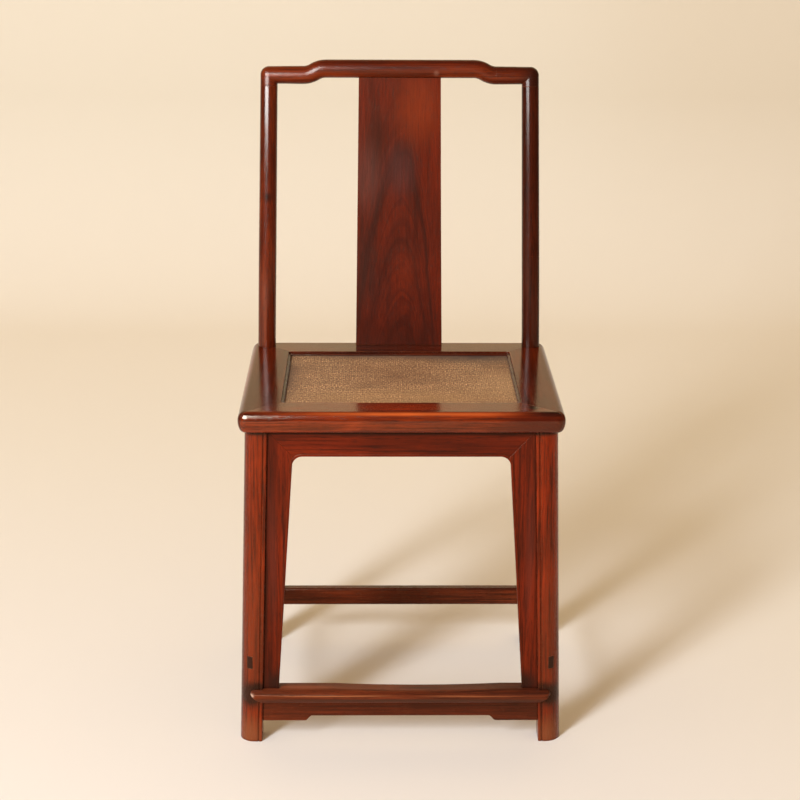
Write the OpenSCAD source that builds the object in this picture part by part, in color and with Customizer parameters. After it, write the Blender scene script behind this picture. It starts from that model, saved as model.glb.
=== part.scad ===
// Yoke-back side chair with a plaited seat mat, cut and joined piece by piece.
// The chair faces -Y and +Z is up. The origin is on the floor, under the middle of the chair's box.
// Left and right are as seen from the front. Right-hand pieces are drawn, and left-hand ones mirror them.

/* [Seat frame] */
// Width of the seat over its nosing
seat_w = 475; // [440:1:520]
// Depth of the seat over its nosing
seat_d = 400; // [370:1:440]
// Height of the seat's top face above the floor
seat_h = 520; // [470:1:560]
// Thickness of the seat frame
seat_t = 31; // [29:0.5:36]
// Width of each side rail
side_rail_w = 61; // [57:1:68]
// Width of the front rail
front_rail_w = 54.5; // [51:0.5:62]
// Width of the back rail
back_rail_w = 63.5; // [60:0.5:70]
// How far the nosing's rounding reaches in across the top
nose_in = 11.5; // [7:0.5:13]
// How far below the top the nosing stands out most
nose_drop = 14; // [8:0.5:18]
// How far the nosing tucks in at the bottom
nose_tuck = 7.5; // [4:0.5:9]
// Radius of the seat's corners in plan
seat_corner_r = 14; // [12:0.5:20]

/* [Seat mat] */
// Radius of the corners of the opening for the mat
opening_r = 6; // [4:0.5:12]
// How far the mat lies below the frame's top
mat_drop = 5.5; // [4:0.25:7]
// Thickness of the mat
mat_t = 2.2; // [1.6:0.1:3]
// Thickness of the board under the mat
board_t = 8; // [6:0.5:10]
// Width of the ledge that carries the board
ledge_w = 9; // [7:0.5:12]
// Width of the strips round the mat's edge
strip_w = 4.5; // [3.5:0.25:6]
// Height of those strips
strip_h = 3.2; // [2:0.1:3.6]
// Width of each brace under the board
brace_w = 34; // [26:1:44]
// Distance of each brace from the chair's middle
brace_x = 62; // [50:1:90]
// Height of the braces' dovetail ridges in the board
ridge_h = 3; // [2:0.25:4]

/* [Legs] */
// Size of a leg's section each way
leg_s = 33.7; // [30:0.1:37]
// Radius of the rounding on a leg's outer corner
leg_round_r = 23; // [14:0.5:26]
// Width of the bead along a leg's edges
leg_bead_w = 4.2; // [3:0.1:5]
// Radius of the groove beside the bead
leg_groove_r = 1.3; // [0.8:0.1:1.6]
// How far the legs' outer side faces stand in from the nosing
leg_in_side = 9; // [7:0.5:14]
// How far the legs' front and rear faces stand in from the nosing
leg_in_end = 10; // [8:0.5:14]
// Splay of the legs to each side, in degrees
splay_side = 1.66; // [0.5:0.02:2.4]
// Splay of the legs to the front and rear, in degrees
splay_end = 1; // [0:0.05:1.8]

/* [Back] */
// Top of the crest rail above the floor
crest_top = 975.5; // [900:0.5:1060]
// Diameter of the back posts and of the crest rail
rod_d = 28.4; // [24:0.2:30]
// How much thinner they are at the elbows
rod_taper = 1.2; // [0:0.1:2]
// Distance of the posts' axes from the seat's rear edge
post_in_back = 27; // [24:0.5:30]
// Distance of the posts' axes from the seat's sides
post_in_side = 24.4; // [22:0.1:27]
// Lean of each post towards the other, in degrees
post_converge = 1.05; // [0:0.05:1.6]
// Backward lean of the upper posts, in degrees
post_lean = 5.2; // [2:0.1:8]
// Radius of the bend above the seat
post_bend_r = 1500; // [700:20:2000]
// Height above the seat where the bend starts
bend_start = 12; // [5:1:60]
// Rise of the crest rail's middle above its ends
crest_step = 10; // [4:0.5:16]
// Distance from the middle to where the crest rail starts to fall
crest_in_x = 116; // [90:1:130]
// Distance from the middle to where its ends run level
crest_out_x = 151.5; // [146:0.5:170]
// Length of the elbow below the crest rail's axis
elbow_drop = 17; // [15.5:0.5:24]
// Width of the splat at the seat
splat_base_w = 138.8; // [120:0.2:160]
// Width of the splat at the crest rail
splat_top_w = 128.6; // [110:0.2:150]
// Thickness of the splat
splat_t = 11; // [8:0.5:12]
// Distance of the splat's middle from the seat's rear edge
splat_in_back = 19; // [17:0.5:21]
// Backward bow of the splat
splat_bow = 10; // [0:0.5:16]

/* [Front arch] */
// Height of the arch's head
arch_head_h = 38.6; // [30:0.2:60]
// Width of the arch's uprights under the head
upright_top_w = 37.4; // [30:0.2:50]
// Width of the arch's uprights at the foot rail
upright_foot_w = 23.5; // [18:0.2:30]
// Radius of the arch's inner corners
arch_r = 15; // [8:0.5:24]
// Thickness of the arch's boards
arch_t = 12; // [10:0.5:14]
// How far the arch lies behind the legs' front faces
arch_back = 5; // [2:0.25:8]
// Width of the bead round the arch
arch_bead_w = 3.4; // [2:0.1:5]
// Height of that bead
arch_bead_h = 0.9; // [0.4:0.1:1.5]

/* [Foot rail] */
// Top of the foot rail above the floor
foot_rail_top = 85.5; // [70:0.5:110]
// Thickness of the foot rail
foot_rail_t = 19.5; // [16:0.5:24]
// How far the foot rail stands out before the legs
foot_rail_proud = 11; // [7:0.5:14]
// Depth of the foot rail, front to back
foot_rail_d = 34; // [28:0.5:38]
// Distance of the foot rail's tips from the chair's middle
foot_lap_x = 225.3; // [216:0.1:230]
// Length of the rounding under each tip
foot_tip_l = 20; // [12:0.5:24]
// Radius of each tip in plan
foot_tip_r = 9; // [4:0.5:11]
// How far the foot rail's top slopes down to its front edge
foot_slope = 4.5; // [2:0.25:6]
// Depth of the hollow that feet have worn in its top
foot_wear = 3; // [1:0.25:4]
// Length of that hollow
foot_wear_l = 250; // [150:5:290]
// Distance of its middle from the chair's middle
foot_wear_x = 25; // [-30:1:30]
// Height of the middle of the board under the foot rail
foot_apron_h = 25; // [16:0.5:30]
// How much further its ends reach down
foot_apron_step = 8; // [4:0.5:12]
// Distance from the middle to the foot of its ramps
foot_apron_x = 144; // [120:1:170]
// Thickness of the aprons at the foot, sides and back
apron_t = 10; // [8:0.5:12]
// How far those aprons lie behind the legs' faces
apron_back = 4; // [2:0.25:6]

/* [Side and back aprons] */
// Height of the middle of the side and back aprons
apron_h = 34; // [26:1:50]
// How much further their ends reach down
apron_step = 10; // [4:0.5:20]
// Length of their low ends
apron_end_l = 58; // [40:1:80]

/* [Stretchers] */
// Top of the back stretcher above the floor
back_stretcher_top = 97; // [80:0.5:150]
// Height of the stretchers' section
stretcher_h = 29.5; // [22:0.5:34]
// Thickness of the stretchers' section
stretcher_t = 18; // [14:0.5:20]
// Radius of the stretchers' edges
stretcher_r = 4; // [2:0.5:6]
// Middle of the side stretchers above the floor
side_stretcher_z = 128; // [118:0.5:190]
// Distance of the side stretchers' middle from the leg's outer face
side_stretcher_in = 13.3; // [11:0.1:16]
// Width of the through tenons
through_w = 8.5; // [6:0.5:10]
// Height of the through tenons
through_h = 19.4; // [14:0.2:22]

/* [Joints] */
// Clearance in every joint
fit = 0.15; // [0.1:0.05:0.25]
// Side of the square tenons on top of the front legs
leg_tenon_w = 14; // [10:0.5:16]
// Height of those tenons
leg_tenon_h = 22; // [14:0.5:24]
// Wall left beside the tenons in the seat frame
tenon_wall = 4; // [3:0.25:4.5]
// Thickness of the tongues on the aprons
tongue_t = 4; // [3:0.25:5]
// Depth of the tongues on the aprons
tongue_d = 6; // [4:0.5:8]
// Thickness of the seat frame's tenons
frame_tenon_t = 11; // [8:0.5:12]
// Depth of the other blind tenons
blind_d = 20; // [14:0.5:22]
// Side of the square tenons on top of the posts
post_tenon_w = 12; // [9:0.5:14]

/* [Hidden] */
$fn = 96;

red_wood = "#7a3418";
dark_wood = "#5f2612";
plain_wood = "#8a5a34";
mat_tan = "#ab8657";

rod_r = rod_d / 2;
elbow_r = rod_r - rod_taper / 2;
far = 600;
lap = 1;
// Lengths of rod that meet differ by this much in radius, and the thinner one runs on this far
// inside the other
seam_step = 0.06;
seam_lap = 0.5;

// Seat frame
half_w = seat_w / 2;
half_d = seat_d / 2;
seat_under = seat_h - seat_t;
open_x = half_w - side_rail_w;
open_front = -half_d + front_rail_w;
open_back = half_d - back_rail_w;
mat_top = seat_h - mat_drop;
board_top = mat_top - mat_t - fit;
ledge_top = board_top - board_t - fit;

// Legs, in the frame of one leg's top: x from its inner face, y from its front face, z up from the seat
leg_x = half_w - leg_in_side - leg_s;
leg_y = half_d - leg_in_end;
leg_mid_x = leg_x + leg_s / 2;
leg_mid_y = leg_y - leg_s / 2;
leg_top = seat_under - fit;

// Back posts and crest rail
post_x = half_w - post_in_side;
post_y = half_d - post_in_back;
crest_high_z = crest_top - rod_r;
crest_low_z = crest_high_z - crest_step;
post_rise = (crest_low_z - seat_h) / cos(post_converge);
bend_rise = post_bend_r * sin(post_lean);
bend_shift = post_bend_r * (1 - cos(post_lean));
straight_l = (post_rise - bend_start - bend_rise) / cos(post_lean);
crest_y = post_y + bend_shift + straight_l * sin(post_lean);
crest_end_x = post_x - post_rise * sin(post_converge);
s_angle = 2 * atan(crest_step / (crest_out_x - crest_in_x));
s_r = (crest_out_x - crest_in_x) / 2 / sin(s_angle);
splat_y = half_d - splat_in_back;

// Front arch, in the plane of the legs' front faces: z is down from the seat
arch_foot_z = -(seat_under - foot_rail_top) / cos(splay_end);
arch_corner_x = leg_in(-arch_head_h) - upright_top_w;
arch_foot_x = leg_in(arch_foot_z) - upright_foot_w;
arch_slope = atan((arch_foot_x - arch_corner_x) / (-arch_head_h - arch_foot_z));

// Foot rail
foot_rail_under = foot_rail_top - foot_rail_t;
foot_rail_front = leg_face(foot_rail_top) + foot_rail_proud;
foot_tip_drop = 6;
foot_tip_in = 8;
foot_tip_belly = 0.3;
foot_nose_in = 6;
foot_nose_rise = 11;
foot_edge_r = 2;
foot_slope_l = foot_rail_proud + arch_back;
foot_wear_r = foot_wear_l * foot_wear_l / 8 / foot_wear + foot_wear / 2;
foot_slope_steps = 8;
// The slope from the foot rail's level top to its front edge, as y and how far below the top
slope_line = [
    for (i = [0:foot_slope_steps])
        let (share = i / foot_slope_steps)
        [foot_slope_l - foot_rail_front + (foot_edge_r / 2 - foot_slope_l) * share, foot_slope * share * share]
];

// Half of the box's depth lies before this y and half behind it
box_front = -foot_rail_front;
box_back = crest_y + rod_r;
mid_y = (box_front + box_back) / 2;

// Distance of a leg's inner face from the middle, at a height below the seat in the arch's plane
function leg_in(z) = leg_x - z * tan(splay_side);
// Distance of a leg's front face from the seat's middle at a height above the floor
function leg_face(z) = leg_y + (seat_under - z) * tan(splay_end);
// Distance of a leg's outer face from the chair's middle at a height above the floor
function leg_out(z) = leg_x + leg_s + (seat_under - z) * tan(splay_side);
// Points of an arc or of a quarter of an ellipse
function arc(x, y, rx, ry, from, to, n) =
    [for (i = [0:n]) [x + rx * cos(from + (to - from) * i / n), y + ry * sin(from + (to - from) * i / n)]];
// The same points mirrored to the left, in reverse order
function mirrored(points) = [for (i = [len(points) - 1:-1:0]) [-points[i][0], points[i][1]]];
// A point on the line through two others, at a share of the way
function along(a, b, share) = [a[0] + (b[0] - a[0]) * share, a[1] + (b[1] - a[1]) * share];
// A rectangle with round corners
function round_box(x0, x1, y0, y1, r) = concat(
    arc(x0 + r, y0 + r, r, r, 180, 270, 6),
    arc(x1 - r, y0 + r, r, r, 270, 360, 6),
    arc(x1 - r, y1 - r, r, r, 0, 90, 6),
    arc(x0 + r, y1 - r, r, r, 90, 180, 6)
);

module both() {
    children();
    mirror([1, 0, 0]) children();
}

// Draws children in the y-z plane and sweeps them along x
module along_x(length) {
    rotate([90, 0, 90]) linear_extrude(length, center = true) children();
}

// Draws children in the x-z plane and sweeps them from y = 0 to y = depth
module along_y(depth) {
    translate([0, depth, 0]) rotate([90, 0, 0]) linear_extrude(depth) children();
}

// A bent length of rod in the x-y plane, about the origin
module rod_bend(bend_r, angle, r) {
    lap_angle = seam_lap / bend_r * 180 / PI;
    rotate([0, 0, -lap_angle])
        rotate_extrude(angle = angle + 2 * lap_angle) translate([bend_r, 0]) circle(r);
}

module block(x0, x1, y0, y1, z0, z1) {
    translate([x0, y0, z0]) cube([x1 - x0, y1 - y0, z1 - z0]);
}

// Seat frame

// The nosing from the top's flat down to the underside, as inset from the edge and height
function nosing() = concat(
    [for (i = [0:8]) [nose_in * (1 - sin(i * 90 / 8)), -nose_drop * (1 - cos(i * 90 / 8))]],
    [for (i = [1:8]) [nose_tuck * (1 - cos(i * 90 / 8)), -nose_drop - (seat_t - nose_drop) * sin(i * 90 / 8)]]
);

module nosed_section(half) {
    edge = [for (p = nosing()) [half - p[0], seat_h + p[1]]];
    polygon(concat(edge, mirrored(edge)));
}

module seat_slab() {
    along_x(seat_w - 2 * seat_corner_r) nosed_section(half_d);
    translate([0, -half_d + seat_corner_r, 0])
        along_y(seat_d - 2 * seat_corner_r) nosed_section(half_w);
    for (x = [-1, 1], y = [-1, 1])
        translate([x * (half_w - seat_corner_r), y * (half_d - seat_corner_r), 0])
            rotate_extrude()
                polygon(concat(
                    [for (p = nosing()) [seat_corner_r - p[0], seat_h + p[1]]],
                    [[0, seat_under], [0, seat_h]]
                ));
}

// The space inside the frame, drawn in by a gap
module seat_space(inset, z0, z1, r) {
    translate([0, 0, z0])
        linear_extrude(z1 - z0)
            polygon(round_box(-open_x + inset, open_x - inset, open_front + inset, open_back - inset, r));
}

module seat_ring() {
    difference() {
        seat_slab();
        seat_space(0, ledge_top, seat_h + lap, opening_r);
        seat_space(ledge_w, seat_under - lap, ledge_top + lap, opening_r);
    }
}

// The ends of the mitre lines, carried on past the frame's outer and inner corners
front_mitre_out = along([open_x, open_front], [half_w, -half_d], 1.3);
front_mitre_in = along([open_x, open_front], [half_w, -half_d], -0.6);
back_mitre_out = along([open_x, open_back], [half_w, half_d], 1.3);
back_mitre_in = along([open_x, open_back], [half_w, half_d], -0.6);

module mitred(out, in) {
    intersection() {
        seat_ring();
        translate([0, 0, seat_under - lap])
            linear_extrude(seat_t + 2 * lap)
                polygon([out, in, [-in[0], in[1]], [-out[0], out[1]]]);
    }
}

// Tenons on the front and back rails, which enter the side rails beside the leg's tenon or the post
front_tenon_w = front_rail_w - leg_in_end - leg_s / 2 - leg_tenon_w / 2 - 2 * tenon_wall;
back_tenon_w = back_rail_w - post_in_back - rod_r - 2 * tenon_wall;
frame_tenon_z = seat_under + (seat_t - frame_tenon_t) / 2;
frame_tenon_end = half_w - nose_in - tenon_wall;

module frame_tenon(inner_y, width, outward, g) {
    side = inner_y + outward * (tenon_wall + width / 2);
    block(
        open_x - tenon_wall, frame_tenon_end + g,
        side - width / 2 - g, side + width / 2 + g,
        frame_tenon_z - g, frame_tenon_z + frame_tenon_t + g
    );
}

module front_rail_tenon(g) {
    frame_tenon(open_front, front_tenon_w, -1, g);
}

module back_rail_tenon(g) {
    frame_tenon(open_back, back_tenon_w, 1, g);
}

module leg_tenon(g) {
    half = leg_tenon_w / 2 + g;
    block(
        leg_mid_x - half, leg_mid_x + half, -leg_mid_y - half, -leg_mid_y + half,
        leg_top - leg_tenon_h / 2, leg_top + leg_tenon_h + g
    );
}

// The tenon starts behind the mitre, so the part that fills the rail's own body changes nothing
module seat_front_rail() {
    color(red_wood)
        difference() {
            union() {
                mitred(front_mitre_out, front_mitre_in);
                both() front_rail_tenon(0);
            }
            both() leg_tenon(fit);
            front_apron_tongue(fit);
            both() brace_tenon(fit);
        }
}

module seat_back_rail() {
    color(red_wood)
        difference() {
            union() {
                mitred(back_mitre_out, back_mitre_in);
                both() back_rail_tenon(0);
            }
            both() post_foot(fit);
            splat_foot_tenon(fit);
            back_apron_tongue(fit);
            both() brace_tenon(fit);
        }
}

module seat_side_rail() {
    color(red_wood)
        difference() {
            intersection() {
                seat_ring();
                translate([fit, 0, seat_under - lap])
                    linear_extrude(seat_t + 2 * lap)
                        polygon([front_mitre_out, back_mitre_out, back_mitre_in, front_mitre_in]);
            }
            front_rail_tenon(fit);
            back_rail_tenon(fit);
            leg_tenon(fit);
            post_foot(fit);
            side_apron_tongue(fit);
        }
}

// Seat mat and what carries it

module woven_mat() {
    color(mat_tan) seat_space(fit, mat_top - mat_t, mat_top, opening_r);
}

// A quarter-round strip against the frame, mitred at its ends
module mat_strip(half_length, inner_y, outward) {
    color(dark_wood)
        intersection() {
            translate([0, inner_y - outward * fit, mat_top + fit])
                along_x(2 * half_length)
                    polygon(concat(
                        [[0, 0]],
                        [for (p = arc(0, 0, strip_w, strip_h, 0, 90, 8)) [-outward * p[0], p[1]]]
                    ));
            children();
        }
}

module strip_mitre(x, y, dx, dy) {
    reach = 3 * strip_w;
    translate([0, 0, mat_top])
        linear_extrude(mat_drop)
            polygon([[-x, y], [x, y], [x - dx * reach, y + dy * reach], [-x + dx * reach, y + dy * reach]]);
}

module mat_strip_end(inner_y, outward) {
    intersection() {
        mat_strip(open_x, inner_y, outward)
            seat_space(fit, mat_top, seat_h, opening_r);
        strip_mitre(open_x - fit, inner_y - outward * fit, 1, -outward);
    }
}

module mat_strip_front() {
    mat_strip_end(open_front, -1);
}

module mat_strip_back() {
    mat_strip_end(open_back, 1);
}

module mat_strip_side() {
    middle = (open_front + open_back) / 2;
    half = (open_back - open_front) / 2;
    intersection() {
        translate([0, middle, 0])
            rotate([0, 0, -90])
                mat_strip(half, open_x, 1)
                    translate([0, 0, mat_top]) cylinder(mat_drop, far, far);
        seat_space(fit, mat_top, seat_h, opening_r);
        translate([0, middle, 0])
            rotate([0, 0, -90])
                strip_mitre(half - fit - 0.7 * fit, open_x - fit, 1, -1);
    }
}

// Ridges on the braces run in dovetail grooves across the board's underside
module brace_ridge(g) {
    root = brace_w * 0.4;
    crown = brace_w * 0.56;
    translate([0, open_front + ledge_w + fit, ledge_top])
        along_y(open_back - open_front - 2 * ledge_w - 2 * fit)
            polygon([
                [brace_x - root / 2 - g, -lap],
                [brace_x + root / 2 + g, -lap],
                [brace_x + crown / 2 + g, ridge_h + g],
                [brace_x - crown / 2 - g, ridge_h + g]
            ]);
}

module seat_board() {
    color(plain_wood)
        difference() {
            seat_space(fit, ledge_top + fit, board_top, opening_r);
            both() brace_ridge(fit);
        }
}

brace_t = ledge_top - seat_under;
brace_tenon_w = brace_w * 0.6;
brace_tenon_t = brace_t * 0.45;

module brace_tenon(g) {
    block(
        brace_x - brace_tenon_w / 2 - g, brace_x + brace_tenon_w / 2 + g,
        open_front + ledge_w - blind_d - g, open_back - ledge_w + blind_d + g,
        seat_under + (brace_t - brace_tenon_t) / 2 - g, seat_under + (brace_t + brace_tenon_t) / 2 + g
    );
}

module seat_brace() {
    color(plain_wood)
        union() {
            block(
                brace_x - brace_w / 2, brace_x + brace_w / 2,
                open_front + ledge_w + fit, open_back - ledge_w - fit,
                seat_under, ledge_top
            );
            brace_ridge(0);
            brace_tenon(0);
        }
}

// Legs

// A square with a round outer corner. The real section, with g = 0, has a bead and a groove by both
// inner edges.
module leg_section(g) {
    bead_r = leg_bead_w / 2;
    corner = leg_s - leg_round_r;
    difference() {
        polygon(concat(
            arc(bead_r, bead_r, bead_r + g, bead_r + g, 180, 270, 4),
            arc(corner, leg_round_r, leg_round_r + g, leg_round_r + g, -90, 0, 15),
            arc(leg_s - bead_r, leg_s - bead_r, bead_r + g, bead_r + g, 0, 90, 4),
            [[-g, leg_s + g]]
        ));
        if (g == 0) {
            translate([leg_bead_w + leg_groove_r, 0]) circle(leg_groove_r);
            translate([leg_s, leg_s - leg_bead_w - leg_groove_r]) circle(leg_groove_r);
        }
    }
}

module front_leg_blank(g) {
    translate([leg_x, -leg_y, seat_under])
        rotate([-splay_end, 0, 0])
            rotate([0, -splay_side, 0])
                translate([0, 0, -far])
                    linear_extrude(far + leg_s) leg_section(g);
}

module rear_leg_blank(g) {
    mirror([0, 1, 0]) front_leg_blank(g);
}

module leg_height() {
    block(0, far, -far, far, 0, leg_top);
}

module front_leg() {
    color(red_wood)
        difference() {
            union() {
                intersection() {
                    front_leg_blank(0);
                    leg_height();
                }
                leg_tenon(0);
            }
            upright_tongue(fit);
            foot_rail_tenon(fit);
            foot_apron_tongue(fit);
            side_apron_tongue(fit);
            through_tenon(fit);
        }
}

module back_post() {
    color(red_wood)
        difference() {
            union() {
                intersection() {
                    rear_leg_blank(0);
                    leg_height();
                }
                post_foot(0);
                post_rod();
                post_tenon(0);
                translate([post_x, post_y, leg_top - seat_t / 2]) cylinder(seat_t, rod_r / 2, rod_r / 2);
            }
            back_stretcher_tenon(fit);
            back_apron_tongue(fit);
            side_apron_tongue(fit);
            through_tenon(fit);
        }
}

// Back posts, crest rail and splat

// The post's own frame: its origin is on the seat's top, and it bends back in its y-z plane
module post_frame() {
    translate([post_x, post_y, seat_h]) rotate([0, -post_converge, 0]) children();
}

// Where the post's axis meets the crest rail's, with z along the post
module post_top_frame() {
    post_frame()
        translate([0, bend_shift, bend_start + bend_rise])
            rotate([-post_lean, 0, 0])
                translate([0, 0, straight_l]) children();
}

// The post's foot, which stands on the leg and passes through the seat frame
module post_foot(g) {
    intersection() {
        post_frame()
            translate([0, 0, -2 * seat_t]) cylinder(2 * seat_t + bend_start, rod_r + g, rod_r + g);
        block(0, far, -far, far, leg_top - g, crest_top);
    }
}

// The round post above its foot, up to the elbow's seam
module post_rod() {
    post_frame()
        translate([0, post_bend_r, bend_start])
            rotate([90, 0, 90])
                rotate([0, 0, 180 - post_lean]) rod_bend(post_bend_r, post_lean, rod_r - seam_step);
    post_top_frame()
        translate([0, 0, -straight_l]) cylinder(straight_l - elbow_drop, rod_r, elbow_r);
}

module post_tenon(g) {
    half = post_tenon_w / 2 + g;
    post_top_frame()
        block(-half, half, -half, half, -elbow_drop - rod_r / 2, rod_r / 4 + g);
}

module crest_middle(g) {
    translate([0, crest_y, crest_high_z])
        rotate([0, 90, 0]) cylinder(2 * crest_in_x, rod_r + g, rod_r + g, center = true);
}

// From the raised middle, the rail falls in two bends to its level end and turns down on to the post
module crest_end() {
    translate([crest_in_x, crest_y, crest_high_z - s_r])
        rotate([90, 0, 0])
            rotate([0, 0, 90 - s_angle]) rod_bend(s_r, s_angle, rod_r - seam_step);
    translate([crest_out_x, crest_y, crest_low_z + s_r])
        rotate([90, 0, 0])
            rotate([0, 0, 270 - s_angle]) rod_bend(s_r, s_angle, rod_r - 2 * seam_step);
    translate([crest_out_x, crest_y, crest_low_z])
        rotate([0, 90, 0]) cylinder(crest_end_x - crest_out_x, rod_r - seam_step, elbow_r - seam_step);
    translate([crest_end_x, crest_y, crest_low_z]) sphere(elbow_r);
    post_top_frame()
        translate([0, 0, fit - elbow_drop])
            cylinder(elbow_drop - fit, elbow_r - 2 * seam_step, elbow_r - 2 * seam_step);
}

module crest_rail() {
    color(red_wood)
        difference() {
            union() {
                crest_middle(0);
                both() crest_end();
            }
            both() post_tenon(fit);
            splat_head_tenon(fit);
        }
}

// The splat's middle line leans to the crest rail and bows back on the way
function splat_line(z) =
    let (t = (z - seat_h) / (crest_high_z - seat_h))
    splat_y + (crest_y - splat_y) * t + 4 * splat_bow * t * (1 - t);

splat_steps = 24;

module splat_board(half_base, half_top, thick, z0, z1) {
    heights = [for (i = [0:splat_steps]) z0 + (z1 - z0) * i / splat_steps];
    front = [for (z = heights) [splat_line(z) - thick / 2, z]];
    back = [for (i = [splat_steps:-1:0]) [splat_line(heights[i]) + thick / 2, heights[i]]];
    intersection() {
        along_x(seat_w) polygon(concat(front, back));
        along_y(seat_w)
            polygon([
                [-half_base, seat_h], [half_base, seat_h],
                [half_top, crest_high_z], [-half_top, crest_high_z]
            ]);
    }
}

splat_shoulder = 9;

module splat_head_tenon(g) {
    splat_board(
        splat_base_w / 2 - splat_shoulder + g, splat_top_w / 2 - splat_shoulder + g, splat_t * 0.6 + 2 * g,
        crest_high_z - 2 * rod_r, crest_high_z - lap + g
    );
}

module splat_foot_tenon(g) {
    half_w = splat_base_w / 2 - splat_shoulder + g;
    half_t = splat_t * 0.3 + g;
    block(-half_w, half_w, splat_y - half_t, splat_y + half_t, seat_h - seat_t / 2 - g, seat_h + splat_t / 2);
}

module back_splat() {
    color(red_wood)
        union() {
            difference() {
                splat_board(splat_base_w / 2, splat_top_w / 2, splat_t, seat_h + fit, crest_high_z);
                crest_middle(fit);
            }
            splat_head_tenon(0);
            splat_foot_tenon(0);
        }
}

// Front arch

// The plane of the front legs' front faces, which splays with them
module front_plane() {
    translate([0, -leg_y, seat_under]) rotate([-splay_end, 0, 0]) children();
}

// The arch's inner edge on the right, from its foot to the middle of the head, moved out by g
function arch_edge(g) = concat(
    [[arch_foot_x + (foot_rail_t * tan(arch_slope)) + g / cos(arch_slope), arch_foot_z - foot_rail_t]],
    arc(
        arch_corner_x + arch_r * tan(arch_slope) - arch_r / cos(arch_slope), -arch_head_h - arch_r,
        arch_r + g, arch_r + g, arch_slope, 90, 10
    )
);

module arch_opening(g) {
    polygon(concat(arch_edge(g), mirrored(arch_edge(g))));
}

// The mitre runs from the leg's inner top corner to the arch's corner, and on past the rounding
arch_mitre_out = along([arch_corner_x, -arch_head_h], [leg_in(0), 0], 1.2);
arch_mitre_in = along([arch_corner_x, -arch_head_h], [leg_in(0), 0], -0.6);

module arch_piece() {
    front_plane() {
        translate([0, arch_back, 0])
            along_y(arch_t)
                difference() {
                    children();
                    arch_opening(0);
                }
        translate([0, arch_back - arch_bead_h, 0])
            along_y(arch_bead_h + lap)
                intersection() {
                    children();
                    difference() {
                        arch_opening(arch_bead_w);
                        arch_opening(0);
                    }
                }
    }
}

module arch_head_outline() {
    intersection() {
        polygon([
            arch_mitre_out, arch_mitre_in,
            [-arch_mitre_in[0], arch_mitre_in[1]], [-arch_mitre_out[0], arch_mitre_out[1]]
        ]);
        translate([-leg_in(0), -far]) square([2 * leg_in(0), far - fit]);
    }
}

module upright_outline() {
    foot = arch_foot_z - foot_rail_t;
    intersection() {
        translate([fit, 0])
            polygon([arch_mitre_out, arch_mitre_in, [0, arch_mitre_in[1]], [0, foot], [far, foot]]);
        polygon([[0, foot], [leg_in(foot) - fit, foot], [leg_in(0) - fit, -fit], [0, -fit]]);
    }
}

tongue_y = arch_back + arch_t / 2;

module front_apron_tongue(g) {
    front_plane()
        block(
            -leg_in(0) + tongue_d - g, leg_in(0) - tongue_d + g,
            tongue_y - tongue_t / 2 - g, tongue_y + tongue_t / 2 + g,
            -arch_bead_w, tongue_d + g
        );
}

module upright_tongue(g) {
    top = -2 * tongue_d;
    foot = arch_foot_z + 2 * tongue_d;
    front_plane()
        translate([0, tongue_y - tongue_t / 2 - g, 0])
            along_y(tongue_t + 2 * g)
                polygon([
                    [leg_in(top) - tongue_d, top + g],
                    [leg_in(top) + tongue_d + g, top + g],
                    [leg_in(foot) + tongue_d + g, foot - g],
                    [leg_in(foot) - tongue_d, foot - g]
                ]);
}

// A short tenon on each end of the head, which holds the mitre
module arch_mitre_tenon(g) {
    middle = along([arch_corner_x, -arch_head_h], [leg_in(0), 0], 0.45);
    front_plane()
        block(
            middle[0] - tongue_d, middle[0] + 2 * tongue_d + g,
            tongue_y - tongue_t / 2 - g, tongue_y + tongue_t / 2 + g,
            middle[1] - tongue_d - g, middle[1] + tongue_d / 2 + g
        );
}

module front_apron() {
    color(red_wood)
        union() {
            arch_piece() arch_head_outline();
            front_apron_tongue(0);
            both() arch_mitre_tenon(0);
        }
}

module front_apron_side() {
    color(red_wood)
        difference() {
            union() {
                arch_piece() upright_outline();
                upright_tongue(0);
            }
            arch_mitre_tenon(fit);
            block(0, far, -far, 0, 0, foot_rail_top + fit);
        }
}

// Foot rail and the board under it

// From the front: pointed tips, cut away underneath in a curve that is between a slant and a quarter round
module foot_rail_outline() {
    round_cut = arc(
        foot_lap_x - foot_tip_l, foot_rail_top - foot_tip_drop,
        foot_tip_l, foot_rail_t - foot_tip_drop, -90, 0, 8
    );
    tip = concat(
        [
            for (i = [0:8])
                along(along(round_cut[0], round_cut[8], i / 8), round_cut[i], foot_tip_belly)
        ],
        arc(foot_lap_x - foot_tip_in, foot_rail_top - foot_tip_drop, foot_tip_in, foot_tip_drop, 15, 90, 5)
    );
    polygon(concat(tip, mirrored(tip)));
}

// From the side: a top that slopes to a worn front edge, and a front that tucks in below
module foot_rail_section() {
    front = -foot_rail_front;
    back = front + foot_rail_d;
    edge_z = foot_rail_top - foot_slope - foot_edge_r;
    nose = foot_nose_in;
    polygon(concat(
        [[back, foot_rail_top], [back, foot_rail_under]],
        arc(front + nose, foot_rail_under + foot_nose_rise, nose, foot_nose_rise, 270, 180, 7),
        arc(front + foot_edge_r, edge_z, foot_edge_r, foot_edge_r, 180, 135, 3),
        [for (i = [foot_slope_steps:-1:0]) [slope_line[i][0], foot_rail_top - slope_line[i][1]]]
    ));
}

// From above: the front corners are round
module foot_rail_plan() {
    front = -foot_rail_front;
    corner = concat(
        arc(foot_lap_x - foot_tip_r, front + foot_tip_r, foot_tip_r, foot_tip_r, -90, 0, 8),
        [[foot_lap_x, front + foot_rail_d + lap]]
    );
    translate([0, 0, foot_rail_under - lap])
        linear_extrude(foot_rail_t + 2 * lap) polygon(concat(corner, mirrored(corner)));
}

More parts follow.
